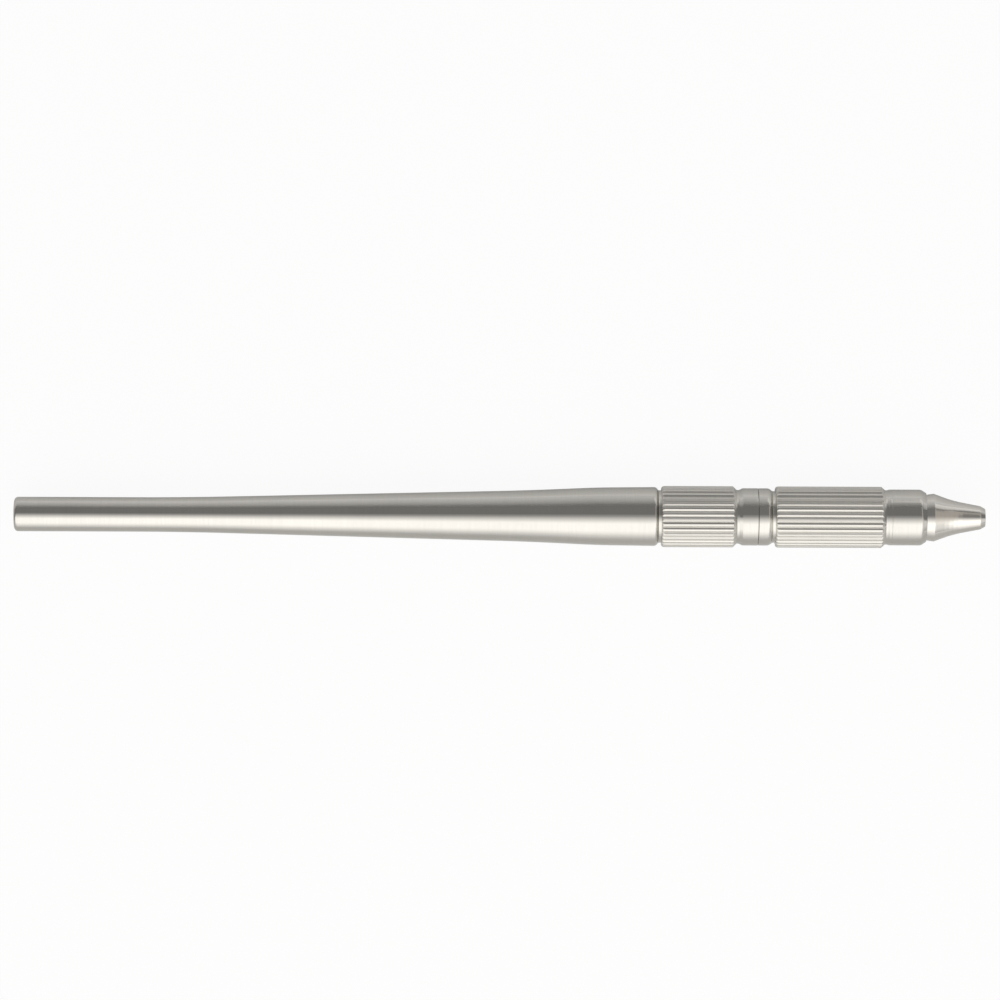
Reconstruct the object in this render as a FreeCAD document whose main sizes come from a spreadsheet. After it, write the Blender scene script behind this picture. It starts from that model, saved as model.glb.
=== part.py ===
import FreeCAD, Part
import math
import os
import Sketcher

# Turned handle for miniature surgical blades: a slender tapered body, a fluted sleeve that
# turns on the body's spigot, and a two-jaw collet that the sleeve screws in and out.
# The axis is X. X = 0 is the flat tail end, and the nose points to +X. Z is up as it lies.

# Driving sizes in millimetres and degrees. Radii are from the axis, lengths along it.
SIZES = {
    # Body: tail, tapers and swell
    "tail_radius": 2.66,
    "tail_edge_radius": 0.6,
    "tail_length": 26.0,
    "slow_taper_length": 53.0,
    "slow_taper_radius": 3.956,
    "fast_taper_length": 11.0,
    "fast_taper_radius": 4.45,
    "swell_length": 9.1,
    "swell_radius": 4.55,
    "tail_blend_radius": 600.0,
    "taper_blend_radius": 400.0,
    "swell_blend_radius": 120.0,
    # Flutes of both grips
    "knurl_radius": 4.72,
    "knurl_end_length": 0.6,
    "flute_count": 34,
    "flute_width": 0.6,
    "flute_depth": 0.18,
    "flute_runout": 0.3,
    # Body: relief, rear grip, V groove and rear collar
    "relief_cone_length": 0.42,
    "relief_land_length": 0.27,
    "relief_radius": 4.05,
    "rear_knurl_length": 11.21,
    "valley_length": 0.35,
    "valley_radius": 4.15,
    "collar_step_length": 0.55,
    "collar_radius": 4.42,
    "rear_collar_length": 2.4,
    "parting_chamfer": 0.1,
    "parting_gap": 0.03,
    # Sleeve, outside
    "front_collar_length": 1.6,
    "sleeve_relief_length": 0.6,
    "sleeve_relief_radius": 3.98,
    "sleeve_land_length": 0.25,
    "front_knurl_length": 16.55,
    "front_valley_radius": 4.2,
    "nose_collar_step_length": 0.21,
    "nose_collar_radius": 4.31,
    "nose_collar_length": 4.96,
    "mouth_chamfer_length": 0.8,
    "mouth_blend_radius": 0.9,
    "mouth_radius": 3.8,
    # Spigot of the body and its threaded bore
    "spigot_radius": 3.3,
    "spigot_clearance": 0.03,
    "spigot_chamfer": 0.3,
    "spigot_end_gap": 0.8,
    "stem_bore_overrun": 0.9,
    "drill_point_length": 1.2,
    # Retaining ring and its two grooves
    "ring_setback": 8.0,
    "ring_wire_radius": 0.4,
    "ring_clearance": 0.04,
    "ring_gap_angle": 50.0,
    # Collet: neck, nose and tip
    "neck_length": 1.2,
    "cone_base_radius": 3.7,
    "cone_base_edge": 0.08,
    "steep_cone_length": 2.9,
    "steep_cone_radius": 2.63,
    "nose_blend_radius": 6.0,
    "nose_cone_length": 4.3,
    "nose_cone_radius": 1.82,
    "tip_blend_radius": 0.7,
    "tip_length": 0.75,
    "tip_radius": 1.4,
    # Collet: closing cone, jaw relief, guide and threaded stem
    "closing_cone_angle": 8.0,
    "cone_clearance": 0.03,
    "jaw_relief_length": 3.0,
    "jaw_relief_radius": 2.55,
    "guide_radius": 3.0,
    "guide_clearance": 0.03,
    "guide_length": 4.2,
    "guide_setback": 0.6,
    "undercut_length": 0.9,
    "undercut_radius": 1.5,
    "stem_radius": 2.0,
    "thread_clearance": 0.04,
    "stem_end_gap": 2.5,
    "stem_chamfer": 0.4,
    # Blade seat: bore and slit between the jaws
    "blade_bore_radius": 0.8,
    "blade_bore_overrun": 0.7,
    "slit_width": 0.5,
    "slit_root_setback": 1.1,
    "slit_root_radius": 0.6,
    # Key pin and keyway
    "pin_setback": 2.2,
    "pin_radius": 0.5,
    "pin_recess": 0.4,
    "pin_reach": 0.75,
    "pin_chamfer": 0.1,
    "keyway_depth": 0.95,
    "keyway_side_clearance": 0.03,
    "keyway_end_clearance": 0.2,
    "collet_travel": 0.9,
}

doc = FreeCAD.newDocument("ScalpelHandle")
sheet = doc.addObject("Spreadsheet::Sheet", "Dims")
for row, (alias, number) in enumerate(SIZES.items(), start=1):
    sheet.set(f"A{row}", alias)
    sheet.set(f"B{row}", str(number))
    sheet.setAlias(f"B{row}", alias)
doc.recompute()


class Size:
    """A size worked out from the sheet: the expression that binds it, and its value now."""

    def __init__(self, text, value):
        self.text = text
        self.value = value

    def __add__(self, other):
        return Size(f"({self.text} + {other.text})", self.value + other.value)

    def __sub__(self, other):
        return Size(f"({self.text} - {other.text})", self.value - other.value)

    def __mul__(self, other):
        return Size(f"({self.text} * {other.text})", self.value * other.value)

    def __truediv__(self, other):
        return Size(f"({self.text} / {other.text})", self.value / other.value)

    def __neg__(self):
        return Size(f"(-{self.text})", -self.value)


def size(alias):
    """The named size of the sheet."""
    return Size(f"Dims.{alias}", SIZES[alias])


def beyond(station, *aliases):
    """The station that lies the named lengths in front of a station."""
    for alias in aliases:
        station = station + size(alias)
    return station


def tangent_of(alias):
    """The tangent of the named angle."""
    return Size(f"tan(Dims.{alias} * 1 deg)", math.tan(math.radians(SIZES[alias])))


ON_AXIS = Size("0", 0.0)
HALF = Size("0.5", 0.5)
TWICE = Size("2", 2.0)

# Stations of the body, from the tail
slow_taper_end = beyond(size("tail_length"), "slow_taper_length")
fast_taper_end = beyond(slow_taper_end, "fast_taper_length")
relief_start = beyond(fast_taper_end, "swell_length")
relief_floor = beyond(relief_start, "relief_cone_length")
rear_knurl = beyond(relief_floor, "relief_land_length")
rear_knurl_end = beyond(rear_knurl, "rear_knurl_length")
valley = beyond(rear_knurl_end, "knurl_end_length")
valley_end = beyond(valley, "valley_length")
rear_collar = beyond(valley_end, "collar_step_length")
parting = beyond(rear_collar, "rear_collar_length")

# Stations of the sleeve, from the parting face
sleeve_rear = beyond(parting, "parting_gap")
front_collar_end = beyond(sleeve_rear, "front_collar_length")
sleeve_relief = beyond(front_collar_end, "sleeve_relief_length")
front_knurl = beyond(sleeve_relief, "sleeve_land_length")
front_knurl_end = beyond(front_knurl, "front_knurl_length")
front_valley = beyond(front_knurl_end, "knurl_end_length")
front_valley_end = beyond(front_valley, "valley_length")
nose_collar = beyond(front_valley_end, "nose_collar_step_length")
nose_collar_end = beyond(nose_collar, "nose_collar_length")
mouth = beyond(nose_collar_end, "mouth_chamfer_length")

# Stations of the collet's nose, from the sleeve's mouth
cone_base = beyond(mouth, "neck_length")
steep_cone_end = beyond(cone_base, "steep_cone_length")
nose_cone_end = beyond(steep_cone_end, "nose_cone_length")
tip = beyond(nose_cone_end, "tip_length")

# Stations inside the sleeve, back from the cone's base
cone_slope = tangent_of("closing_cone_angle")
cone_rear = cone_base - (size("cone_base_radius") - size("guide_radius")) / cone_slope
guide_front = cone_rear - size("jaw_relief_length")
guide_rear = guide_front - size("guide_length")
guide_bore_rear = guide_rear - size("guide_setback")
spigot_end = guide_bore_rear - size("spigot_end_gap")
slit_root = beyond(guide_front, "slit_root_setback")
blade_bore_end = slit_root - size("blade_bore_overrun")
key_station = beyond(guide_rear, "pin_setback")
ring_station = spigot_end - size("ring_setback")
stem_bore_end = parting - size("stem_bore_overrun")
stem_end = beyond(stem_bore_end, "stem_end_gap")

# Radii of the fits
spigot_bore_radius = beyond(size("spigot_radius"), "spigot_clearance")
guide_bore_radius = beyond(size("guide_radius"), "guide_clearance")
stem_bore_radius = beyond(size("stem_radius"), "thread_clearance")
seat_radius = beyond(size("cone_base_radius"), "cone_clearance")
seat_rear = cone_base - (seat_radius - guide_bore_radius) / cone_slope
ring_centre_radius = size("spigot_radius") + size("spigot_clearance") * HALF


def new_body(name):
    """A sub-part with its own label, which names its file."""
    body = doc.addObject("PartDesign::Body", name)
    body.Label = name
    return body


def origin_feature(body, role):
    """One of the body's own origin planes or axes."""
    return next(part for part in body.Origin.OriginFeatures if part.Role == role)


def new_sketch(body, name, role, offset=ON_AXIS):
    """A sketch on an origin plane, moved along the plane's normal."""
    sketch = body.newObject("Sketcher::SketchObject", name)
    sketch.AttachmentSupport = (origin_feature(body, role), "")
    sketch.MapMode = "FlatFace"
    if offset is not ON_AXIS:
        sketch.setExpression("AttachmentOffset.Base.z", offset.text)
    return sketch


def bind(sketch, kind, where, bound):
    """Adds a driving constraint and binds it to a size."""
    index = sketch.addConstraint(Sketcher.Constraint(kind, *where, bound.value))
    sketch.setExpression(f"Constraints[{index}]", bound.text)


def place(sketch, geometry, end, across, up):
    """Holds a point of the sketch at a place given by two sizes."""
    for kind, axis, bound in (("DistanceX", -2, across), ("DistanceY", -1, up)):
        if bound is ON_AXIS:
            sketch.addConstraint(Sketcher.Constraint("PointOnObject", geometry, end, axis))
        else:
            bind(sketch, kind, (-1, 1, geometry, end), bound)


def blend_arc(before, corner, after, radius):
    """The arc tangent to both runs at a corner, and whether it turns to the left."""
    into = (corner - before).normalize()
    out = (after - corner).normalize()
    left = into.cross(out).z > 0
    trim = radius * math.tan(into.getAngle(out) / 2)
    start = corner - into * trim
    finish = corner + out * trim
    side = 1 if left else -1
    centre = start + FreeCAD.Vector(-into.y, into.x, 0) * radius * side
    spokes = [start - centre, finish - centre][::side]
    angles = [math.atan2(spoke.y, spoke.x) for spoke in spokes]
    if angles[1] < angles[0]:
        angles[1] += 2 * math.pi
    circle = Part.Circle(centre, FreeCAD.Vector(0, 0, 1), radius)
    return start, finish, Part.ArcOfCircle(circle, *angles), left


def outline(sketch, corners):
    """Closed straight runs through corners (across, up, blend); a blend is a tangent arc."""
    corners = [corner if len(corner) == 3 else (*corner, None) for corner in corners]
    count = len(corners)
    points = [FreeCAD.Vector(across.value, up.value, 0) for across, up, _ in corners]
    run_ends = list(points)
    run_starts = list(points)
    arcs = {}
    for i, (_, _, blend) in enumerate(corners):
        if blend is not None:
            around = (points[i - 1], points[i], points[(i + 1) % count])
            run_ends[i], run_starts[i], arc, left = blend_arc(*around, blend.value)
            arcs[i] = (sketch.addGeometry(arc), (1, 2) if left else (2, 1))
    runs = []
    for i in range(count):
        run = Part.LineSegment(run_starts[i], run_ends[(i + 1) % count])
        runs.append(sketch.addGeometry(run))
    for i, (across, up, blend) in enumerate(corners):
        before, after = runs[i - 1], runs[i]
        if blend is None:
            sketch.addConstraint(Sketcher.Constraint("Coincident", before, 2, after, 1))
            place(sketch, after, 1, across, up)
            continue
        arc, (first, last) = arcs[i]
        sketch.addConstraint(Sketcher.Constraint("Tangent", before, 2, arc, first))
        sketch.addConstraint(Sketcher.Constraint("Tangent", arc, last, after, 1))
        bind(sketch, "Radius", (arc,), blend)
        corner = sketch.addGeometry(Part.Point(points[i]), True)
        place(sketch, corner, 1, across, up)
        for run in (before, after):
            sketch.addConstraint(Sketcher.Constraint("PointOnObject", corner, 1, run))


def round_outline(sketch, across, up, radius):
    """A circle about a placed centre."""
    centre = FreeCAD.Vector(across.value, up.value, 0)
    circle = sketch.addGeometry(Part.Circle(centre, FreeCAD.Vector(0, 0, 1), radius.value))
    place(sketch, circle, 3, across, up)
    bind(sketch, "Radius", (circle,), radius)


def turned(body, kind, sketch, angle="360"):
    """A solid or a cut made by turning a sketch about the X axis."""
    feature = body.newObject(f"PartDesign::{kind}", sketch.Name.replace("Outline", ""))
    feature.Profile = sketch
    feature.ReferenceAxis = (sketch, ["H_Axis"])
    feature.setExpression("Angle", angle)
    doc.recompute()
    return feature


def milled(body, sketch, length, reverse=False, both_ways=False):
    """A straight cut along the sketch's normal."""
    pocket = body.newObject("PartDesign::Pocket", sketch.Name.replace("Outline", ""))
    pocket.Profile = sketch
    pocket.setExpression("Length", length.text)
    pocket.Reversed = reverse
    if both_ways:
        pocket.SideType = "Symmetric"
    doc.recompute()
    return pocket


def fluted(body, name, start, length):
    """V flutes all round a grip. One flute faces straight down, so two crests carry it."""
    runout = size("flute_runout")
    sketch = new_sketch(body, f"{name}Outline", "YZ_Plane", start - runout)
    root = size("knurl_radius") - size("flute_depth")
    outside = size("knurl_radius") + size("flute_depth")
    width = size("flute_width")
    outline(sketch, [(ON_AXIS, -root), (-width, -outside), (width, -outside)])
    full_length = size(length) + size("knurl_end_length") + runout * TWICE
    pocket = milled(body, sketch, full_length, reverse=True)
    pattern = body.newObject("PartDesign::PolarPattern", f"{name}Pattern")
    pattern.Originals = [pocket]
    pattern.Axis = (origin_feature(body, "X_Axis"), [""])
    pattern.Angle = 360
    pattern.setExpression("Occurrences", "Dims.flute_count")
    body.Tip = pattern
    doc.recompute()


def ring_groove(body):
    """Round-bottomed groove for the wire ring, half in the spigot and half in the bore."""
    sketch = new_sketch(body, f"{body.Name}RingGrooveOutline", "XY_Plane")
    radius = beyond(size("ring_wire_radius"), "ring_clearance")
    round_outline(sketch, ring_station, ring_centre_radius, radius)
    turned(body, "Groove", sketch)


def make_handle_body():
    """One turned piece: tail, tapers, rear grip, rear collar and spigot."""
    body = new_body("handle_body")
    sketch = new_sketch(body, "BodyOutline", "XY_Plane")
    chamfer = size("parting_chamfer")
    spigot_chamfer = size("spigot_chamfer")
    outline(sketch, [
        (ON_AXIS, ON_AXIS),
        (ON_AXIS, size("tail_radius"), size("tail_edge_radius")),
        (size("tail_length"), size("tail_radius"), size("tail_blend_radius")),
        (slow_taper_end, size("slow_taper_radius"), size("taper_blend_radius")),
        (fast_taper_end, size("fast_taper_radius"), size("swell_blend_radius")),
        (relief_start, size("swell_radius")),
        (relief_floor, size("relief_radius")),
        (rear_knurl, size("relief_radius")),
        (rear_knurl, size("knurl_radius")),
        (rear_knurl_end, size("knurl_radius")),
        (valley, size("valley_radius")),
        (valley_end, size("valley_radius")),
        (rear_collar, size("collar_radius")),
        (parting - chamfer, size("collar_radius")),
        (parting, size("collar_radius") - chamfer),
        (parting, size("spigot_radius")),
        (spigot_end - spigot_chamfer, size("spigot_radius")),
        (spigot_end, size("spigot_radius") - spigot_chamfer),
        (spigot_end, ON_AXIS),
    ])
    turned(body, "Revolution", sketch)
    bore = new_sketch(body, "StemBoreOutline", "XY_Plane")
    outline(bore, [
        (spigot_end, ON_AXIS),
        (spigot_end, stem_bore_radius),
        (stem_bore_end, stem_bore_radius),
        (stem_bore_end - size("drill_point_length"), ON_AXIS),
    ])
    turned(body, "Groove", bore)
    ring_groove(body)
    fluted(body, "RearFlutes", rear_knurl, "rear_knurl_length")
    return body


def make_clamping_sleeve():
    """One turned piece: front collar, front grip, nose collar and conical mouth."""
    body = new_body("clamping_sleeve")
    sketch = new_sketch(body, "SleeveOutline", "XY_Plane")
    chamfer = size("parting_chamfer")
    outline(sketch, [
        (sleeve_rear, spigot_bore_radius),
        (sleeve_rear, size("collar_radius") - chamfer),
        (sleeve_rear + chamfer, size("collar_radius")),
        (front_collar_end, size("collar_radius")),
        (sleeve_relief, size("sleeve_relief_radius")),
        (front_knurl, size("sleeve_relief_radius")),
        (front_knurl, size("knurl_radius")),
        (front_knurl_end, size("knurl_radius")),
        (front_valley, size("front_valley_radius")),
        (front_valley_end, size("front_valley_radius")),
        (nose_collar, size("nose_collar_radius")),
        (nose_collar_end, size("nose_collar_radius"), size("mouth_blend_radius")),
        (mouth, size("mouth_radius")),
        (mouth, seat_radius - (cone_base - mouth) * cone_slope),
        (seat_rear, guide_bore_radius),
        (guide_bore_rear, guide_bore_radius),
        (guide_bore_rear, spigot_bore_radius),
    ])
    turned(body, "Revolution", sketch)
    ring_groove(body)
    fluted(body, "FrontFlutes", front_knurl, "front_knurl_length")
    hole = new_sketch(body, "PinHoleOutline", "XY_Plane")
    round_outline(hole, key_station, ON_AXIS, size("pin_radius"))
    milled(body, hole, size("knurl_radius") * TWICE)
    return body


def make_collet():
    """One turned piece, slit into two jaws: nose, closing cone, guide and threaded stem."""
    body = new_body("collet")
    sketch = new_sketch(body, "ColletOutline", "XY_Plane")
    edge = size("cone_base_edge")
    chamfer = size("stem_chamfer")
    undercut_rear = guide_rear - size("undercut_length")
    outline(sketch, [
        (stem_end, ON_AXIS),
        (stem_end, size("stem_radius") - chamfer),
        (stem_end + chamfer, size("stem_radius")),
        (undercut_rear, size("stem_radius")),
        (undercut_rear, size("undercut_radius")),
        (guide_rear, size("undercut_radius")),
        (guide_rear, size("guide_radius")),
        (guide_front, size("guide_radius")),
        (guide_front, size("jaw_relief_radius")),
        (cone_rear, size("jaw_relief_radius")),
        (cone_rear, size("guide_radius")),
        (cone_base, size("cone_base_radius"), edge),
        (steep_cone_end, size("steep_cone_radius"), size("nose_blend_radius")),
        (nose_cone_end, size("nose_cone_radius"), size("tip_blend_radius")),
        (tip, size("tip_radius")),
        (tip, ON_AXIS),
    ])
    turned(body, "Revolution", sketch)
    bore = new_sketch(body, "BladeBoreOutline", "XY_Plane")
    radius = size("blade_bore_radius")
    outline(bore, [
        (blade_bore_end - radius, ON_AXIS),
        (blade_bore_end, radius),
        (tip, radius),
        (tip, ON_AXIS),
    ])
    turned(body, "Groove", bore)
    slit = new_sketch(body, "SlitOutline", "XZ_Plane")
    half_slit = size("slit_width") * HALF
    past_tip = tip + half_slit
    outline(slit, [
        (slit_root, -half_slit),
        (past_tip, -half_slit),
        (past_tip, half_slit),
        (slit_root, half_slit),
    ])
    across = size("cone_base_radius") * TWICE * TWICE
    milled(body, slit, across, both_ways=True)
    root = new_sketch(body, "SlitRootOutline", "XZ_Plane")
    round_outline(root, slit_root, ON_AXIS, size("slit_root_radius"))
    milled(body, root, across, both_ways=True)
    make_keyway(body)
    return body


def make_keyway(body):
    """Slot with round ends in the collet's underside, as long as the pin and the travel."""
    floor = size("guide_radius") - size("keyway_depth")
    sketch = new_sketch(body, "KeywayOutline", "XY_Plane", -floor)
    half_width = beyond(size("pin_radius"), "keyway_side_clearance")
    front = beyond(key_station, "keyway_end_clearance")
    rear = key_station - size("keyway_end_clearance") - size("collet_travel")
    ends = []
    for centre, start in ((rear, math.pi / 2), (front, -math.pi / 2)):
        middle = FreeCAD.Vector(centre.value, 0, 0)
        circle = Part.Circle(middle, FreeCAD.Vector(0, 0, 1), half_width.value)
        ends.append(sketch.addGeometry(Part.ArcOfCircle(circle, start, start + math.pi)))
        place(sketch, ends[-1], 3, centre, ON_AXIS)
    for side, rear_end, front_end in ((1, 1, 2), (-1, 2, 1)):
        level = side * half_width.value
        start = FreeCAD.Vector(rear.value, level, 0)
        finish = FreeCAD.Vector(front.value, level, 0)
        edge = sketch.addGeometry(Part.LineSegment(start, finish))
        sketch.addConstraint(Sketcher.Constraint("Tangent", edge, 1, ends[0], rear_end))
        sketch.addConstraint(Sketcher.Constraint("Tangent", edge, 2, ends[1], front_end))
    bind(sketch, "Radius", (ends[0],), half_width)
    milled(body, sketch, size("guide_radius"))


def make_key_pin():
    """Dowel pressed into the sleeve's wall from below, with its nose in the keyway."""
    body = new_body("key_pin")
    outer = size("knurl_radius") - size("pin_recess")
    inner = size("guide_radius") - size("pin_reach")
    sketch = new_sketch(body, "PinOutline", "XY_Plane", -outer)
    round_outline(sketch, key_station, ON_AXIS, size("pin_radius"))
    pad = body.newObject("PartDesign::Pad", "Pin")
    pad.Profile = sketch
    pad.setExpression("Length", (outer - inner).text)
    doc.recompute()
    rims = [
        f"Edge{number}"
        for number, edge in enumerate(pad.Shape.Edges, start=1)
        if isinstance(edge.Curve, Part.Circle)
    ]
    chamfer = body.newObject("PartDesign::Chamfer", "PinChamfers")
    chamfer.Base = (pad, rims)
    chamfer.setExpression("Size", "Dims.pin_chamfer")
    doc.recompute()
    return body


def make_retaining_ring():
    """Split ring of round wire."""
    body = new_body("retaining_ring")
    sketch = new_sketch(body, "RingOutline", "XY_Plane")
    round_outline(sketch, ring_station, ring_centre_radius, size("ring_wire_radius"))
    turned(body, "Revolution", sketch, "360 - Dims.ring_gap_angle")
    return body


def check(bodies):
    """Stops on a failed feature or a bad shape."""
    for item in doc.Objects:
        if "Invalid" in item.State or "Error" in item.State:
            raise RuntimeError(f"{item.Name} failed: {item.State}")
    for body in bodies:
        if body.Shape.isNull() or not body.Shape.isValid():
            raise RuntimeError(f"{body.Label} has no valid shape")


bodies = [
    make_handle_body(),
    make_clamping_sleeve(),
    make_collet(),
    make_key_pin(),
    make_retaining_ring(),
]
doc.recompute()
check(bodies)
os.makedirs("parts", exist_ok=True)
for body in bodies:
    body.Shape.exportStep(f"parts/{body.Label}.step")
    print(f"{body.Label}: {body.Shape.Volume:.2f} mm3")
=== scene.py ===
import math
from collections import namedtuple

import bpy
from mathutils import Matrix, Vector


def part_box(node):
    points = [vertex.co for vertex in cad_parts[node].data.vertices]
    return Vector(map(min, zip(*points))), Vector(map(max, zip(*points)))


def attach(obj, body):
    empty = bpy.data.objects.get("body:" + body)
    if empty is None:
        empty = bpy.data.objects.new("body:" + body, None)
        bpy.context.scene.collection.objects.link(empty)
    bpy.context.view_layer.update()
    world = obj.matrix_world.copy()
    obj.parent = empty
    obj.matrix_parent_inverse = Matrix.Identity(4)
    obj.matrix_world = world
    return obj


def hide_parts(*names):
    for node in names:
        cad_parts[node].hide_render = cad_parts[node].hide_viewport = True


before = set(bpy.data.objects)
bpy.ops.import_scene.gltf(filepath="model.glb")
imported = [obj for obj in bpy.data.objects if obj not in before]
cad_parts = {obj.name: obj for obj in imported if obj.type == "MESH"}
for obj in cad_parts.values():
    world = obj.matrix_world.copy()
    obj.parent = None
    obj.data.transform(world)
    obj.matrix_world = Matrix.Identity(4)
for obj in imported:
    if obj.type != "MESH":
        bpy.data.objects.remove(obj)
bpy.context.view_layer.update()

# Scalpel handle with a turning sleeve and a two-jaw collet. The axis is X, the tail is at X = 0
# and Z is up as it lies. The shapes are worked out in millimetres, and every mesh is in metres.
MM = 0.001


def along(node, end):
    """Where a node begins (end 0) or stops (end 1) on the axis, to a thousandth."""
    return round(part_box(node)[end][0] / MM, 3)


def middle_of(node):
    """The middle of a node on the axis."""
    return (along(node, 0) + along(node, 1)) / 2


# Places on the axis, from the frame
SPIGOT_END = along("handle_body", 1)
SLEEVE_REAR = along("clamping_sleeve", 0)
MOUTH = along("clamping_sleeve", 1)
STEM_END = along("collet", 0)
TIP = along("collet", 1)
KEY_X = middle_of("key_pin")
RING_X = middle_of("retaining_ring")
PARTING = SLEEVE_REAR - 0.03

# Edges that the cutter leaves: a small round on every corner, and a support ring beside it.
# Rounds under SMALL_ROUND are rubbed bright outside and darkened inside by dirt and painted
# shade, and have coarser steps than larger ones.
EDGE = 0.04
SUPPORT = 0.1
SMALL_ROUND = 0.2
SHARP_ANGLE = math.radians(50)

# Collars: smooth bands in front of each grip, with a small chamfer on both sides of the parting
COLLAR_RADIUS = 4.42
NOSE_COLLAR_RADIUS = 4.31
COLLAR_CHAMFER = 0.07

# Grips: from a rounded rear end to an end cone that falls to a V groove
Grip = namedtuple("Grip", "start end valley valley_radius")
GRIP_RADIUS = 4.72
REAR_GRIP = Grip(99.94, 111.0, 111.6, 4.15)
FRONT_GRIP = Grip(117.53, 133.93, 134.53, 4.2)
END_ROUND = 0.45

# Flutes of both grips: V grooves whose straight flanks rise by FLANK for each mm across
FLUTES = 34
PITCH = 2 * math.pi / FLUTES
ROOT_RADIUS = 4.54
FLANK = 0.6
SLANT = math.hypot(1, FLANK)
ROOT_ROUND = 0.10
CREST_ROUND = 0.07
FULL_WIDTH = 0.08
NO_WIDTH = 1e-6
COLUMNS_PER_FLUTE = 14
COLUMNS = FLUTES * COLUMNS_PER_FLUTE

# Scribed line on the front collar
SCRIBE_X = 135.51
SCRIBE_DEPTH = 0.025
SCRIBE_HALF_WIDTH = 0.03
SCRIBE_ROUND = 0.01

# Spigot and threaded bore of the body, and the bores of the sleeve
SPIGOT_RADIUS = 3.3
SPIGOT_CHAMFER = 0.3
STEM_BORE = 2.04
STEM_BORE_END = PARTING - 0.9
DRILL_POINT = 1.2
SLEEVE_BORE = 3.33
GUIDE_BORE = 3.03
GUIDE_BORE_REAR = SPIGOT_END + 0.8

# Collet: stem, guide, jaw relief and closing cone
STEM_RADIUS = 2.0
STEM_CHAMFER = 0.4
UNDERCUT_RADIUS = 1.5
UNDERCUT_LENGTH = 0.9
GUIDE_RADIUS = 3.0
GUIDE_REAR = GUIDE_BORE_REAR + 0.6
GUIDE_FRONT = GUIDE_REAR + 4.2
RELIEF_RADIUS = 2.55
CONE_SLOPE = math.tan(math.radians(8))
CONE_BASE = MOUTH + 1.2
CONE_BASE_RADIUS = 3.7
CONE_REAR = CONE_BASE - (CONE_BASE_RADIUS - GUIDE_RADIUS) / CONE_SLOPE
SEAT_RADIUS = GUIDE_BORE + (MOUTH - CONE_REAR) * CONE_SLOPE

# Blade seat between the jaws
HALF_SLIT = 0.25
SLIT_ROOT = GUIDE_FRONT + 1.1
SLIT_ROOT_RADIUS = 0.6
BORE_RADIUS = 0.8
BORE_REAR = SLIT_ROOT - 0.7
BORE_POINT = 0.8
SLIT_EDGE = 0.04
JAW_STEPS = 96
GAP_STEPS = 4

# Key pin, pressed in from below, and the keyway that it runs in
PIN_RADIUS = 0.5
PIN_CHAMFER = 0.1
PIN_ROUND = 0.03
PIN_INNER = 2.25
PIN_OUTER = 4.32
PIN_SIDES = 48
KEYWAY_RADIUS = 0.53
KEYWAY_FLOOR = 2.05
KEYWAY_CLEARANCE = 0.2
KEYWAY_LENGTH = 1.3

# Retaining ring: spring wire in a groove of the spigot and of the sleeve
RING_RADIUS = 3.315
RING_WIRE = 0.4
RING_GROOVE = 0.44
RING_GAP = math.radians(50)
RING_STEPS = 120
WIRE_SIDES = 32
CAP_STEPS = 4


class Skin:
    """A closed mesh that is sewn ring by ring; points at the same place are one vertex."""

    def __init__(self):
        self.points = []
        self.wear_and_shade = []
        self.flutes = []
        self.faces = []
        self.known = {}

    def vertex(self, x, y, z, wear_and_shade=0.0, flutes=0.0):
        """The number of the vertex at this place, in millimetres."""
        key = (round(x, 6), round(y, 6), round(z, 6))
        if key not in self.known:
            self.known[key] = len(self.points)
            self.points.append((x * MM, y * MM, z * MM))
            self.wear_and_shade.append(wear_and_shade)
            self.flutes.append(flutes)
        return self.known[key]

    def face(self, *corners):
        """A face, unless its corners fall together into fewer than three."""
        kept = [corner for i, corner in enumerate(corners) if corner != corners[i - 1]]
        if len(set(kept)) == len(kept) > 2:
            self.faces.append(kept)

    def sew(self, first, second, closed=True):
        """Faces between two rings of as many vertices each."""
        count = len(first)
        for i in range(count if closed else count - 1):
            j = (i + 1) % count
            self.face(first[i], first[j], second[j], second[i])

    def sew_all(self, rings):
        """Faces between each ring and the next."""
        for first, second in zip(rings, rings[1:]):
            self.sew(first, second)

    def object(self, name):
        """The mesh as an object, with wear_and_shade and flutes as attributes of its points."""
        mesh = bpy.data.meshes.new(name)
        mesh.from_pydata(self.points, [], self.faces, shade_flat=False)
        for label, values in (("wear_and_shade", self.wear_and_shade), ("flutes", self.flutes)):
            layer = mesh.attributes.new(label, "FLOAT", "POINT")
            layer.data.foreach_set("value", values)
        piece = bpy.data.objects.new(name, mesh)
        bpy.context.collection.objects.link(piece)
        return piece


def rounded(corners):
    """Points (x, radius, wear_and_shade) along straight runs through corners (x, radius[, round]).

    A small outside round is rubbed bright, value 1, and a small inside one is darkened by dirt
    and painted shade, value -1."""
    spots = [Vector(corner[:2]) for corner in corners]
    points = [(*spots[0], 0.0)]
    for i in range(1, len(corners) - 1):
        corner = spots[i]
        into = (corner - spots[i - 1]).normalized()
        out = (spots[i + 1] - corner).normalized()
        radius = corners[i][2] if len(corners[i]) > 2 else EDGE
        small = radius < SMALL_ROUND
        left = into.x * out.y - into.y * out.x > 0
        turn = into.angle(out)
        trim = radius * math.tan(turn / 2)
        side = Vector((-into.y, into.x)) * (1 if left else -1)
        start = corner - into * trim
        degrees_each, fewest = (25, 2) if small else (10, 4)
        steps = max(fewest, math.ceil(math.degrees(turn) / degrees_each))
        # Inside rounds get -1, darkened by dirt and painted shade; outside rounds get 1, rubbed bright.
        worn_and_shaded = -1.0 if left else 1.0
        wear_and_shade = worn_and_shaded if small else 0.0
        points.append((*start, 0.0))
        for k in range(1, steps):
            angle = turn * k / steps
            spot = start + into * (radius * math.sin(angle)) + side * (radius * (1 - math.cos(angle)))
            points.append((*spot, wear_and_shade))
        points.append((*(corner + out * trim), 0.0))
    points.append((*spots[-1], 0.0))
    return with_supports(points)


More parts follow.
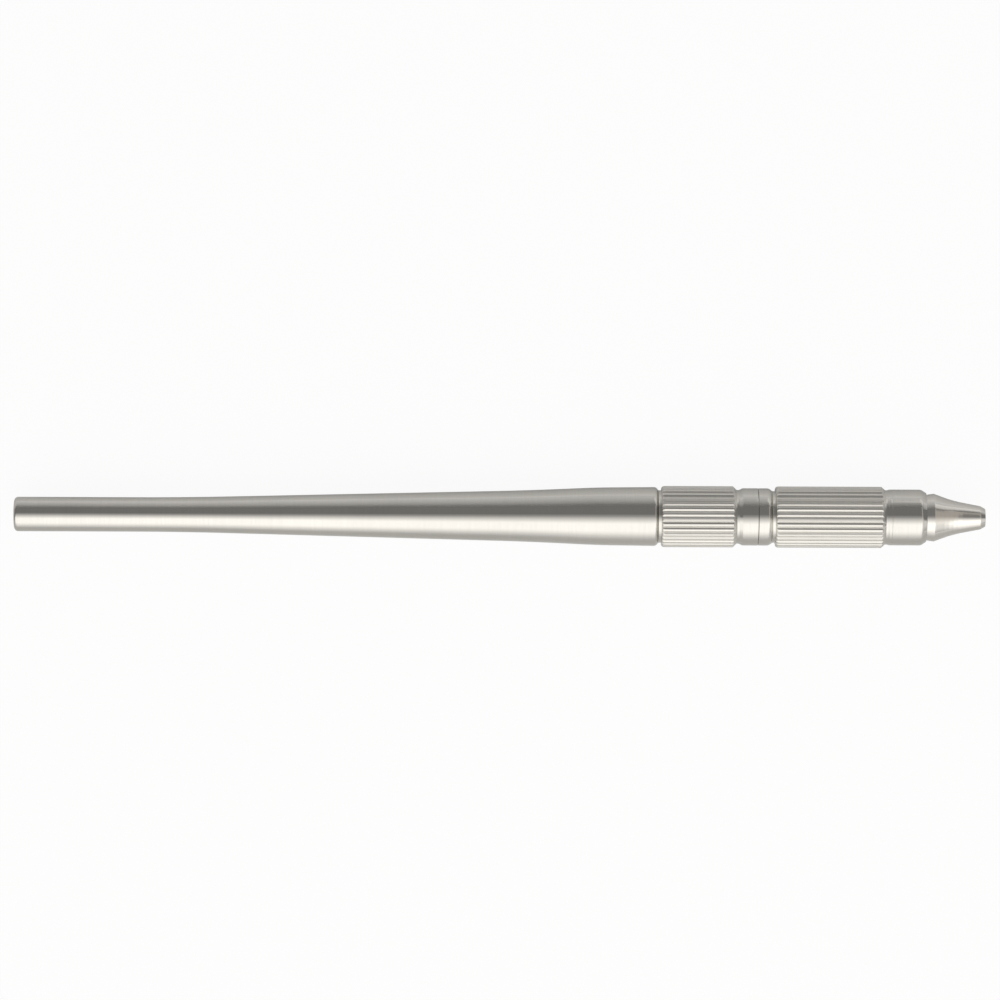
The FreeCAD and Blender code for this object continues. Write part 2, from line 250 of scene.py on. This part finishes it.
def with_supports(points):
    """Adds a ring close to each end of every long straight run."""
    full = [points[0]]
    for before, after in zip(points, points[1:]):
        start, stop = Vector(before[:2]), Vector(after[:2])
        length = (stop - start).length
        if length > 4 * SUPPORT:
            for share in (SUPPORT / length, 1 - SUPPORT / length):
                full.append((*start.lerp(stop, share), 0.0))
        full.append(after)
    return full


EVEN_ANGLES = [-math.pi / 2 + 2 * math.pi * i / COLUMNS for i in range(COLUMNS)]


def ring(skin, x, radius, wear_and_shade=0.0, angles=EVEN_ANGLES):
    """A circle of vertices, or one vertex for all columns where the radius is nothing."""
    return [skin.vertex(x, radius * math.cos(angle), radius * math.sin(angle), wear_and_shade) for angle in angles]


def flute_section(crest):
    """Half a flute and half a crest: (across, out, wear_and_shade), from the flute's bottom.

    Where the crest is no higher than the root, the flute has run out and has no width."""
    root = ROOT_RADIUS
    across = math.sqrt((SLANT * crest) ** 2 - root * root) - root * FLANK
    across /= SLANT ** 2
    if across < NO_WIDTH:
        across = 0.0
    scale = min(1.0, across / FULL_WIDTH)
    low = ROOT_ROUND * scale
    high = CREST_ROUND * scale
    edge_angle = math.atan2(across, root + across * FLANK)
    flank = Vector((-FLANK, 1)).normalized()
    land = Vector((math.sin(edge_angle), math.cos(edge_angle)))
    half_turn = flank.angle(land) / 2
    trim = high * math.tan(half_turn)
    centre = Vector((across, root + across * FLANK))
    centre -= (flank + land).normalized() * high / math.cos(half_turn)
    section = []
    # Flute bottoms get negative values, darkened by dirt and painted shade; crests get positive ones,
    # rubbed bright.
    for share, worn_and_shaded in ((0.0, -1.0), (0.5, -0.9), (1.0, -0.4)):
        angle = math.atan(FLANK) * share
        section.append((low * math.sin(angle), root + low * (SLANT - math.cos(angle)), worn_and_shaded))
    for share, worn_and_shaded in ((0.0, 0.3), (0.5, 1.0), (1.0, 0.5)):
        spot = centre + flank.lerp(land, share).normalized() * high
        section.append((spot.x, spot.y, worn_and_shaded))
    start = edge_angle + trim / crest
    for share in (0.5, 1.0):
        angle = start + (PITCH / 2 - start) * share
        section.append((crest * math.sin(angle), crest * math.cos(angle), 0.2))
    return section


def fluted_ring(skin, x, crest):
    """A ring round a grip, with crests of this radius. One flute faces straight down."""
    section = flute_section(crest)
    spots = section[:0:-1][1:]
    spots = [(-across, out, worn_and_shaded) for across, out, worn_and_shaded in spots] + section
    found = []
    for i in range(FLUTES):
        middle = -math.pi / 2 + i * PITCH
        for across, out, worn_and_shaded in spots:
            y = out * math.cos(middle) - across * math.sin(middle)
            z = out * math.sin(middle) + across * math.cos(middle)
            found.append(skin.vertex(x, y, z, worn_and_shaded, 1.0))
    shift = len(spots) // 2
    return found[shift:] + found[:shift]


def rear_round(skin, start):
    """Rings of a grip's rounded rear end, where the flutes run out."""
    rings = []
    for degrees in (0, 22.5, 45, 67.5, 90):
        angle = math.radians(degrees)
        x = start + END_ROUND * (1 - math.cos(angle))
        crest = GRIP_RADIUS - END_ROUND * (1 - math.sin(angle))
        fluted = crest > ROOT_RADIUS
        rings.append(fluted_ring(skin, x, crest) if fluted else ring(skin, x, crest))
    return rings


def grip_rings(skin, grip):
    """Rings of a grip, from its rear face to where its flutes run out on the end cone."""
    fall = (GRIP_RADIUS - grip.valley_radius) / (grip.valley - grip.end)
    turn = math.atan(fall)
    trim = EDGE * math.tan(turn / 2)
    dip = EDGE * (1 / math.cos(turn / 2) - 1) * math.cos(turn / 2)
    rings = rear_round(skin, grip.start)
    rings.append(fluted_ring(skin, grip.start + END_ROUND + SUPPORT, GRIP_RADIUS))
    rings.append(fluted_ring(skin, grip.end - trim - SUPPORT, GRIP_RADIUS))
    rings.append(fluted_ring(skin, grip.end - trim, GRIP_RADIUS))
    rings.append(fluted_ring(skin, grip.end + dip * math.sin(turn / 2), GRIP_RADIUS - dip))
    runout = (GRIP_RADIUS - ROOT_RADIUS) / fall
    first = trim * math.cos(turn)
    for share in (0.0, 0.25, 0.5, 0.75, 0.9, 1.0):
        x = first + (runout - first) * share
        rings.append(fluted_ring(skin, grip.end + x, GRIP_RADIUS - x * fall))
    return rings


def on_end_cone(grip, radius):
    """The place (x, radius) where a grip's end cone has this radius."""
    share = (GRIP_RADIUS - radius) / (GRIP_RADIUS - grip.valley_radius)
    return grip.end + share * (grip.valley - grip.end), radius


def groove_rings(skin, inward):
    """Rings of the retaining ring's groove: forward along the spigot, or back along the bore."""
    rings = []
    for k in range(1, 12):
        angle = math.radians(180 + 15 * k) if inward else math.radians(15 * k)
        x = RING_X + RING_GROOVE * math.cos(angle)
        rings.append(ring(skin, x, RING_RADIUS + RING_GROOVE * math.sin(angle)))
    return rings


def make_body():
    """Tail, tapers, rear grip and collar, then the spigot with its bore."""
    skin = Skin()
    relief = 4.05
    # Tail end, end of the straight tail, slow taper, fast taper, swell and relief
    rear = rounded([
        (0, 0), (0, 2.66, 0.6), (26, 2.66, 600), (79, 3.956, 400), (90, 4.45, 120),
        (99.1, 4.55, 0.6), (99.52, relief, 0.25), (REAR_GRIP.start, relief),
    ])
    collar = rounded([
        on_end_cone(REAR_GRIP, COLLAR_RADIUS), (REAR_GRIP.valley, REAR_GRIP.valley_radius),
        (111.95, REAR_GRIP.valley_radius), (112.5, COLLAR_RADIUS),
        (PARTING - COLLAR_CHAMFER, COLLAR_RADIUS), (PARTING, COLLAR_RADIUS - COLLAR_CHAMFER),
        (PARTING, SPIGOT_RADIUS), (RING_X - RING_GROOVE, SPIGOT_RADIUS),
    ])
    spigot = rounded([
        (RING_X + RING_GROOVE, SPIGOT_RADIUS), (SPIGOT_END - SPIGOT_CHAMFER, SPIGOT_RADIUS),
        (SPIGOT_END, SPIGOT_RADIUS - SPIGOT_CHAMFER), (SPIGOT_END, STEM_BORE),
        (STEM_BORE_END, STEM_BORE), (STEM_BORE_END - DRILL_POINT, 0),
    ])
    rings = [ring(skin, *point) for point in rear]
    rings += grip_rings(skin, REAR_GRIP)
    rings += [ring(skin, *point) for point in collar[1:]]
    rings += groove_rings(skin, inward=True)
    rings += [ring(skin, *point) for point in spigot]
    skin.sew_all(rings)
    return skin.object("body_turned")


def make_sleeve():
    """Rear collar, front grip, front collar with its scribed line, mouth and bores."""
    skin = Skin()
    relief = 3.98
    rear_face = (SLEEVE_REAR, 3.5)
    rear = rounded([
        rear_face, (SLEEVE_REAR, COLLAR_RADIUS - COLLAR_CHAMFER),
        (SLEEVE_REAR + COLLAR_CHAMFER, COLLAR_RADIUS), (116.53, COLLAR_RADIUS, 0.8),
        (117.13, relief, 0.5), (FRONT_GRIP.start, relief),
    ])
    front = rounded([
        on_end_cone(FRONT_GRIP, COLLAR_RADIUS), (FRONT_GRIP.valley, FRONT_GRIP.valley_radius),
        (134.88, FRONT_GRIP.valley_radius), (135.09, 4.295),
        (SCRIBE_X - SCRIBE_HALF_WIDTH, NOSE_COLLAR_RADIUS, SCRIBE_ROUND),
        (SCRIBE_X, NOSE_COLLAR_RADIUS - SCRIBE_DEPTH, SCRIBE_ROUND),
        (SCRIBE_X + SCRIBE_HALF_WIDTH, NOSE_COLLAR_RADIUS, SCRIBE_ROUND),
        (140.05, NOSE_COLLAR_RADIUS, 0.9), (MOUTH, 3.8), (MOUTH, SEAT_RADIUS),
        (CONE_REAR, GUIDE_BORE), (GUIDE_BORE_REAR, GUIDE_BORE), (GUIDE_BORE_REAR, SLEEVE_BORE),
        (RING_X + RING_GROOVE, SLEEVE_BORE),
    ])
    bore = rounded([
        (RING_X - RING_GROOVE, SLEEVE_BORE), (SLEEVE_REAR, SLEEVE_BORE), rear_face,
    ])
    rings = [ring(skin, *point) for point in rear]
    rings += grip_rings(skin, FRONT_GRIP)
    rings += [ring(skin, *point) for point in front[1:]]
    rings += groove_rings(skin, inward=False)
    rings += [ring(skin, *point) for point in bore]
    skin.sew_all(rings)
    return skin.object("sleeve_turned")


def jaw_angles(radius):
    """Angles of the columns of a full ring, with the two jaws' arcs apart from the slit."""
    low = math.asin(HALF_SLIT / radius)
    angles = []
    for turn in (0.0, math.pi):
        angles += [turn + low + (math.pi - 2 * low) * k / JAW_STEPS for k in range(JAW_STEPS + 1)]
        angles += [turn + math.pi - low + 2 * low * k / GAP_STEPS for k in range(1, GAP_STEPS)]
    return angles


def jaw_loop(skin, x, radius, bore, clear, side, wear_and_shade=0.0):
    """One jaw's section: its outside, and its bore; both end in the slit's rounded edges."""
    turn = 0.0 if side > 0 else math.pi
    lines = []
    for reach, inward in ((radius, -1), (bore, 1)):
        low = math.asin((HALF_SLIT + clear) / reach)
        arc = []
        for k in range(JAW_STEPS + 1):
            angle = turn + low + (math.pi - 2 * low) * k / JAW_STEPS
            arc.append(skin.vertex(x, reach * math.cos(angle), reach * math.sin(angle), wear_and_shade))
        flat = math.sqrt(reach * reach - HALF_SLIT ** 2) + inward * clear
        bulge = 0.3 * clear
        middle = math.sqrt(reach * reach - (HALF_SLIT + bulge) ** 2) + inward * bulge
        ends = []
        for hand in (side, -side):
            ends.append([
                skin.vertex(x, hand * middle, side * (HALF_SLIT + bulge), 1.0),
                skin.vertex(x, hand * flat, side * HALF_SLIT, 0.0),
            ])
        lines.append((ends[0][::-1], arc, ends[1]))
    return lines


def make_collet():
    """Stem, guide and jaw relief in one, then two jaws with the blade seat between them."""
    skin = Skin()
    outside = rounded([
        (STEM_END, 0), (STEM_END, STEM_RADIUS - STEM_CHAMFER),
        (STEM_END + STEM_CHAMFER, STEM_RADIUS), (GUIDE_REAR - UNDERCUT_LENGTH, STEM_RADIUS),
        (GUIDE_REAR - UNDERCUT_LENGTH, UNDERCUT_RADIUS), (GUIDE_REAR, UNDERCUT_RADIUS),
        (GUIDE_REAR, GUIDE_RADIUS), (GUIDE_FRONT, GUIDE_RADIUS), (GUIDE_FRONT, RELIEF_RADIUS),
        (SLIT_ROOT, RELIEF_RADIUS),
    ])
    nose = rounded([
        (SLIT_ROOT, RELIEF_RADIUS), (CONE_REAR - 0.002, RELIEF_RADIUS),
        (CONE_REAR + 0.002, GUIDE_RADIUS), (CONE_BASE, CONE_BASE_RADIUS, 0.08),
        (144.95, 2.63, 18.0), (149.25, 1.82, 0.7), (TIP, 1.4), (TIP + 0.004, BORE_RADIUS + EDGE),
    ])
    rings = []
    for x, radius, wear_and_shade in outside:
        angles = jaw_angles(max(radius, HALF_SLIT * 2))
        rings.append(ring(skin, x, radius, wear_and_shade, angles))
    skin.sew_all(rings)
    root_ring = rings[-1]
    bore_angles = jaw_angles(BORE_RADIUS)
    seat = [ring(skin, x, radius, 0.0, bore_angles) for x, radius in (
        (SLIT_ROOT, BORE_RADIUS), (BORE_REAR, BORE_RADIUS), (BORE_REAR - BORE_POINT, 0.0),
    )]
    skin.sew_all(seat)
    # The slit's end wall, on both sides of the bore
    span = JAW_STEPS + GAP_STEPS
    for start in (JAW_STEPS, span + JAW_STEPS):
        gap = [(start + k) % (2 * span) for k in range(GAP_STEPS + 1)]
        skin.sew([root_ring[k] for k in gap], [seat[0][k] for k in gap], closed=False)
    # The jaws, whose outside ends with the tip's round. Their first section meets the stem, so
    # the slit's edges are sharp there, and the bore opens by a small chamfer at the tip.
    stations = [point for point in nose if point[0] <= TIP + 0.001]
    for side in (1, -1):
        loops = []
        for i, (x, radius, wear_and_shade) in enumerate(stations):
            clear = 0.0 if i == 0 else SLIT_EDGE
            bore = BORE_RADIUS + max(0.0, EDGE - (TIP - x))
            (rise, arc, fall), (bore_rise, bore_arc, bore_fall) = jaw_loop(
                skin, x, radius, bore, clear, side, wear_and_shade)
            around = rise + arc + fall + bore_fall[::-1] + bore_arc[::-1] + bore_rise[::-1]
            loops.append(around)
            last = (rise + arc + fall, bore_rise + bore_arc + bore_fall)
        skin.sew_all(loops)
        skin.sew(*last, closed=False)
    return skin.object("collet_turned")


def make_pin():
    """A dowel along Z with chamfered ends."""
    skin = Skin()
    tip_radius = PIN_RADIUS - PIN_CHAMFER
    corners = [
        (PIN_INNER, 0), (PIN_INNER, tip_radius, PIN_ROUND),
        (PIN_INNER + PIN_CHAMFER, PIN_RADIUS, PIN_ROUND),
        (PIN_OUTER - PIN_CHAMFER, PIN_RADIUS, PIN_ROUND), (PIN_OUTER, tip_radius, PIN_ROUND),
        (PIN_OUTER, 0),
    ]
    rings = []
    for out, radius, wear_and_shade in rounded(corners):
        rings.append([
            skin.vertex(KEY_X + radius * math.sin(angle), radius * math.cos(angle), -out, wear_and_shade)
            for angle in (2 * math.pi * k / PIN_SIDES for k in range(PIN_SIDES))
        ])
    skin.sew_all(rings)
    return skin.object("pin_turned")


def make_ring():
    """Spring wire bent into an open ring, with rounded ends."""
    skin = Skin()
    cap = []
    for k in range(CAP_STEPS + 1):
        angle = math.pi / 2 * k / CAP_STEPS
        cap.append((-RING_WIRE * math.cos(angle), RING_WIRE * math.sin(angle)))
    length = (2 * math.pi - RING_GAP) * RING_RADIUS
    straight = length - 2 * RING_WIRE
    wire = [(RING_WIRE + back, thick) for back, thick in cap]
    wire += [(RING_WIRE + straight * k / RING_STEPS, RING_WIRE) for k in range(1, RING_STEPS)]
    wire += [(length - RING_WIRE - back, thick) for back, thick in cap[::-1]]
    rings = []
    for place, thick in wire:
        turn = place / RING_RADIUS
        found = []
        for k in range(WIRE_SIDES):
            angle = 2 * math.pi * k / WIRE_SIDES
            reach = RING_RADIUS + thick * math.sin(angle)
            found.append(skin.vertex(
                RING_X + thick * math.cos(angle), reach * math.cos(turn), reach * math.sin(turn)))
        rings.append(found)
    skin.sew_all(rings)
    return skin.object("ring_bent")


def cut(piece, cutter):
    """Takes the cutter out of the piece."""
    step = piece.modifiers.new("cut", "BOOLEAN")
    step.operation = "DIFFERENCE"
    step.solver = "EXACT"
    step.object = cutter
    bpy.context.view_layer.update()
    done = bpy.data.meshes.new_from_object(piece.evaluated_get(bpy.context.evaluated_depsgraph_get()))
    piece.modifiers.clear()
    piece.data = done
    bpy.data.objects.remove(cutter)


def drill(name, centre, axis, radius, start, end, stretch=0.0):
    """A round or slotted cutter along an axis; stretch lengthens it backwards along X."""
    sides = 64
    skin = Skin()
    rings = []
    for level in (start, end):
        found = []
        for k in range(sides):
            angle = 2 * math.pi * (k + 0.5) / sides
            x = centre + radius * math.cos(angle) - (stretch if math.cos(angle) < 0 else 0.0)
            off = radius * math.sin(angle)
            spot = (x, level, off) if axis == "Y" else (x, off, level)
            found.append(skin.vertex(*spot))
        rings.append(found)
    skin.sew_all(rings)
    skin.faces.append(rings[0][::-1])
    skin.faces.append(rings[1])
    if axis == "Z":
        skin.faces = [face[::-1] for face in skin.faces]
    return skin.object(name)


def finish_surface(piece):
    """Smooth faces with normals weighted by area, and the true corners left sharp."""
    piece.data.set_sharp_from_angle(angle=SHARP_ANGLE)
    step = piece.modifiers.new("normals", "WEIGHTED_NORMAL")
    step.keep_sharp = True
    step.weight = 100


class Graph:
    """Adds nodes to a material or world and joins them."""

    def __init__(self, tree):
        self.tree = tree
        tree.nodes.clear()

    def node(self, kind, sockets=None, **settings):
        """A new node, with its sockets set to values or joined to other sockets."""
        node = self.tree.nodes.new(kind)
        for name, value in settings.items():
            setattr(node, name, value)
        for name, value in (sockets or {}).items():
            if isinstance(value, bpy.types.NodeSocket):
                self.tree.links.new(value, node.inputs[name])
            else:
                node.inputs[name].default_value = value
        return node

    def math(self, operation, *values, clamp=False):
        """One step of arithmetic on values or sockets."""
        sockets = dict(enumerate(values))
        return self.node("ShaderNodeMath", sockets, operation=operation, use_clamp=clamp).outputs[0]

    def noise(self, coords, scale, detail=2.0, roughness=0.5):
        """Noise with this many cycles per metre along X, Y and Z."""
        mapping = self.node("ShaderNodeMapping", {"Vector": coords, "Scale": scale})
        sockets = {"Vector": mapping.outputs[0], "Scale": 1.0, "Detail": detail,
                   "Roughness": roughness}
        return self.node("ShaderNodeTexNoise", sockets).outputs["Fac"]

    def scaled(self, colour, factor):
        """A colour times a factor."""
        sockets = {0: tuple(colour), "Scale": factor}
        return self.node("ShaderNodeVectorMath", sockets, operation="SCALE").outputs[0]

    def spread(self, value, low, high, to_low, to_high):
        """A value from low to high, spread over to_low to to_high and held there."""
        sockets = {"Value": value, "From Min": low, "From Max": high,
                   "To Min": to_low, "To Max": to_high}
        return self.node("ShaderNodeMapRange", sockets).outputs["Result"]


def steel(name, colour, roughness, marks, grain, anisotropy):
    """Turned stainless steel: rings left by the tool, satin grain, edges rubbed bright, and inside
    corners darkened by dirt and painted shade.

    marks and grain are depths of the bump in micrometres."""
    micrometre = 1e-6
    material = bpy.data.materials.new(name)
    material.use_nodes = True
    graph = Graph(material.node_tree)
    coords = graph.node("ShaderNodeTexCoord").outputs["Object"]
    wear_and_shade = graph.node("ShaderNodeAttribute", attribute_name="wear_and_shade").outputs["Fac"]
    flutes = graph.node("ShaderNodeAttribute", attribute_name="flutes").outputs["Fac"]
    rings = graph.noise(coords, (11000, 220, 220), 3.0, 0.6)
    fine = graph.noise(coords, (42000, 42000, 42000), 2.0, 0.6)
    drawn = graph.noise(coords, (700, 9000, 9000), 2.0, 0.6)
    handling = graph.noise(coords, (70, 160, 160), 4.0, 0.6)
    bright = graph.math("MAXIMUM", wear_and_shade, 0.0)
    # Inside corners and flute roots: dirt, and painted shade where the recesses would be shaded.
    shade_and_dirt = graph.math("MAXIMUM", graph.math("MULTIPLY", wear_and_shade, -1.0), 0.0)
    tint = graph.spread(handling, 0.3, 0.7, 0.965, 1.02)
    tint = graph.math("MULTIPLY", tint, graph.spread(rings, 0.25, 0.75, 0.955, 1.025))
    tint = graph.math("MULTIPLY", tint, graph.spread(bright, 0.0, 1.0, 1.0, 1.06))
    # Painted shade with dirt: inside corners and flute roots are darkened.
    tint = graph.math("MULTIPLY", tint, graph.spread(shade_and_dirt, 0.0, 1.0, 1.0, 0.92))
    tint = graph.math("MULTIPLY", tint, graph.spread(flutes, 0.0, 1.0, 1.0, 1.10))
    base = graph.scaled(colour, tint)
    rough = graph.spread(handling, 0.3, 0.7, roughness - 0.02, roughness + 0.03)
    rough = graph.math("ADD", rough, graph.spread(drawn, 0.3, 0.7, -0.025, 0.025))
    rough = graph.math("ADD", rough, graph.math("MULTIPLY", flutes, 0.32))
    rough = graph.math("ADD", rough, graph.math("MULTIPLY", shade_and_dirt, 0.12))
    rough = graph.math("SUBTRACT", rough, graph.math("MULTIPLY", bright, 0.06), clamp=True)
    height = graph.math("MULTIPLY", rings, marks)
    height = graph.math("ADD", height, graph.math("MULTIPLY", fine, grain))
    bump = graph.node("ShaderNodeBump", {"Height": height, "Distance": micrometre})
    tangent = graph.node("ShaderNodeTangent", direction_type="RADIAL", axis="X")
    shader = graph.node("ShaderNodeBsdfPrincipled", {
        "Base Color": base, "Metallic": 1.0, "Roughness": rough, "Anisotropic": anisotropy,
        "Anisotropic Rotation": 0.25, "Normal": bump.outputs[0], "Tangent": tangent.outputs[0],
    })
    graph.node("ShaderNodeOutputMaterial", {"Surface": shader.outputs[0]})
    return material


# Camera: straight above the handle, turned a little, so that the nose points slightly down
PHOTO_WIDTH = 154.56
CAMERA_SPOT = Vector((75.04, 2.455, 900.0))
CAMERA_TURN = math.radians(0.23)
SENSOR = 36.0
camera_data = bpy.data.cameras.new("camera")
camera_data.sensor_width = SENSOR
camera_data.lens = SENSOR * CAMERA_SPOT.z / PHOTO_WIDTH
camera_data.clip_start = 0.01
camera_data.clip_end = 20.0
camera = bpy.data.objects.new("camera", camera_data)
camera.location = CAMERA_SPOT * MM
camera.rotation_euler = (0.0, 0.0, CAMERA_TURN)
bpy.context.collection.objects.link(camera)
bpy.context.scene.camera = camera

# Pieces
body = make_body()
sleeve = make_sleeve()
cut(sleeve, drill("pin_hole", KEY_X, "Z", PIN_RADIUS, start=-2.5, end=-6.0))
collet = make_collet()
cut(collet, drill("slit_end", SLIT_ROOT, "Y", SLIT_ROOT_RADIUS, start=-5.0, end=5.0))
cut(collet, drill(
    "keyway", KEY_X + KEYWAY_CLEARANCE, "Z", KEYWAY_RADIUS, start=-KEYWAY_FLOOR, end=-5.0,
    stretch=KEYWAY_LENGTH))
pin = make_pin()
spring = make_ring()

WARM = (0.606, 0.588, 0.552)
BRIGHT = (0.670, 0.648, 0.610)
GROUND = (0.58, 0.57, 0.55)
DRAWN = (0.54, 0.53, 0.51)
satin_steel = steel("satin_steel", WARM, roughness=0.09, marks=2.0, grain=0.2, anisotropy=0.3)
nose_steel = steel("nose_steel", BRIGHT, roughness=0.12, marks=1.2, grain=0.2, anisotropy=0.3)
pin_steel = steel("pin_steel", GROUND, roughness=0.22, marks=0.4, grain=0.2, anisotropy=0.2)
spring_steel = steel("spring_steel", DRAWN, roughness=0.28, marks=0.2, grain=0.4, anisotropy=0.2)

for piece, node, body_name, slot, material in (
    (body, "handle_body", "handle", "satin_steel", satin_steel),
    (sleeve, "clamping_sleeve", "sleeve", "satin_steel", satin_steel),
    (collet, "collet", "jaws", "nose_steel", nose_steel),
    (pin, "key_pin", "sleeve", "pin_steel", pin_steel),
    (spring, "retaining_ring", "handle", "spring_steel", spring_steel),
):
    finish_surface(piece)
    piece.data.materials.clear()
    piece.data.materials.append(material)
    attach(piece, body_name)
    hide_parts(node)


def stage_material(name, colour):
    """Pale paper that the camera sees as nearly plain white, with a faint shadow.

    The metal mirrors it as white too, with painted shade: darker close to the handle and high up."""
    white_share, camera_colour = 0.93, 1.3
    material = bpy.data.materials.new(name)
    material.use_nodes = True
    graph = Graph(material.node_tree)
    coords = graph.node("ShaderNodeTexCoord").outputs["Object"]
    place = graph.node("ShaderNodeSeparateXYZ", {0: coords}).outputs
    # Painted shade for reflections only: the glow fades near the handle, as a contact shadow, and high
    # up the sweep.
    before = graph.spread(place["Y"], -0.080, -0.006, 0.62, 0.03)
    behind = graph.spread(place["Y"], -0.004, 0.080, 0.10, 0.62)
    low_down = graph.spread(place["Z"], 0.2, 1.9, 1.0, 0.1)
    mirror_share_painted_shade = graph.math("MULTIPLY", graph.math("MAXIMUM", before, behind), low_down)
    path = graph.node("ShaderNodeLightPath").outputs
    mirrored = graph.math("MAXIMUM", path["Is Glossy Ray"], path["Is Transmission Ray"])
    share = graph.math("MULTIPLY", path["Is Camera Ray"], white_share)
    share = graph.math("ADD", share, graph.math("MULTIPLY", mirrored, mirror_share_painted_shade), clamp=True)
    seen = graph.spread(path["Is Camera Ray"], 0.0, 1.0, 1.0, camera_colour)
    paper = graph.node("ShaderNodeBsdfDiffuse", {"Color": graph.scaled(colour, seen)})
    glow = graph.node("ShaderNodeEmission", {"Color": (1.0, 1.0, 1.0, 1.0), "Strength": 1.0})
    mixed = graph.node("ShaderNodeMixShader", {0: share, 1: paper.outputs[0], 2: glow.outputs[0]})
    graph.node("ShaderNodeOutputMaterial", {"Surface": mixed.outputs[0]})
    return material


def make_stage():
    """White paper that lies under the handle and curves up behind it, towards +Y."""
    half_wide, front, back, bend, top = 5000.0, -5000.0, 2200.0, 500.0, 2200.0
    near, bend_steps = 400.0, 12
    profile = [(front, 0.0), (-near, 0.0), (near, 0.0), (back - bend, 0.0)]
    for k in range(1, bend_steps + 1):
        angle = math.pi / 2 * k / bend_steps
        profile.append((back - bend + bend * math.sin(angle), bend - bend * math.cos(angle)))
    profile.append((back, top))
    skin = Skin()
    rows = []
    for y, up in profile:
        rows.append([
            skin.vertex(TIP / 2 + half_wide * side, y, up - GRIP_RADIUS)
            for side in (-1, -0.2, 0.2, 1)
        ])
    for first, second in zip(rows, rows[1:]):
        skin.sew(first, second, closed=False)
    stage = skin.object("paper_sweep")
    stage.data.materials.append(stage_material("paper", (0.74, 0.74, 0.73)))


def softbox(name, colour, radiance, turn, lift, distance, wide, high, middle=75.0, rise=0.0):
    """A rectangular lamp that faces the place X = middle on the axis.

    It stands turn degrees round Z from +Y and lift degrees above the floor, then rises in its
    own plane."""
    lamp = bpy.data.lights.new(name, "AREA")
    lamp.shape = "RECTANGLE"
    lamp.size = wide * MM
    lamp.size_y = high * MM
    lamp.energy = radiance * math.pi * wide * high * MM * MM
    lamp.color = colour
    item = bpy.data.objects.new(name, lamp)
    turn, lift = math.radians(turn), math.radians(lift)
    back = Vector((-math.sin(turn) * math.cos(lift), math.cos(turn) * math.cos(lift),
                   math.sin(lift)))
    facing = back.to_track_quat("Z", "Y")
    spot = Vector((middle, 0.0, 0.0)) + back * distance + facing @ Vector((0.0, rise, 0.0))
    item.location = spot * MM
    item.rotation_euler = facing.to_euler()
    item.visible_camera = False
    bpy.context.collection.objects.link(item)
    return lamp


def ramp(graph, value, stops):
    """A value that follows (place, share) stops."""
    node = graph.node("ShaderNodeValToRGB", {"Fac": value})
    elements = node.color_ramp.elements
    while len(elements) < len(stops):
        elements.new(0.5)
    for element, (place, share) in zip(elements, stops):
        element.position = place
        element.color = (share, share, share, 1.0)
    return node.outputs["Color"]


def grade_window(lamp):
    """Makes the large lamp fade towards +X and towards its lower and upper edges."""
    lamp.use_nodes = True
    graph = Graph(lamp.node_tree)
    across = graph.node("ShaderNodeNewGeometry").outputs["Parametric"]
    across = graph.node("ShaderNodeSeparateXYZ", {0: across}).outputs
    sideways = ramp(graph, across["X"], [
        (0.0, 0.86), (0.352, 0.98), (0.506, 1.0), (0.582, 0.50), (1.0, 0.50),
    ])
    upward = ramp(graph, across["Y"], [
        (0.005, 0.46), (0.129, 0.65), (0.226, 0.85), (0.309, 0.985), (0.415, 1.0),
        (0.537, 0.985), (0.595, 0.82), (0.66, 0.6), (0.747, 0.39), (0.855, 0.157), (1.0, 0.03),
    ])
    glow = graph.node("ShaderNodeEmission", {"Strength": graph.math("MULTIPLY", sideways, upward)})
    graph.node("ShaderNodeOutputLight", {"Surface": glow.outputs[0]})


make_stage()
grade_window(softbox(
    "window", (1.0, 0.992, 0.972), radiance=1.47, turn=180, lift=44, distance=900,
    wide=3950, high=2120, middle=625, rise=180))
softbox(
    "side_card", (1.0, 0.90, 0.78), radiance=0.28, turn=-90, lift=47, distance=1000,
    wide=1600, high=380)
softbox(
    "back_card", (1.0, 0.98, 0.95), radiance=0.30, turn=-28, lift=17, distance=1500,
    wide=1100, high=500)

ROOM = (0.245, 0.245, 0.245, 1.0)
world = bpy.data.worlds.new("studio")
bpy.context.scene.world = world
world.use_nodes = True
studio = Graph(world.node_tree)
background = studio.node("ShaderNodeBackground", {"Color": ROOM})
studio.node("ShaderNodeOutputWorld", {"Surface": background.outputs[0]})

bpy.context.scene.view_settings.view_transform = "Standard"
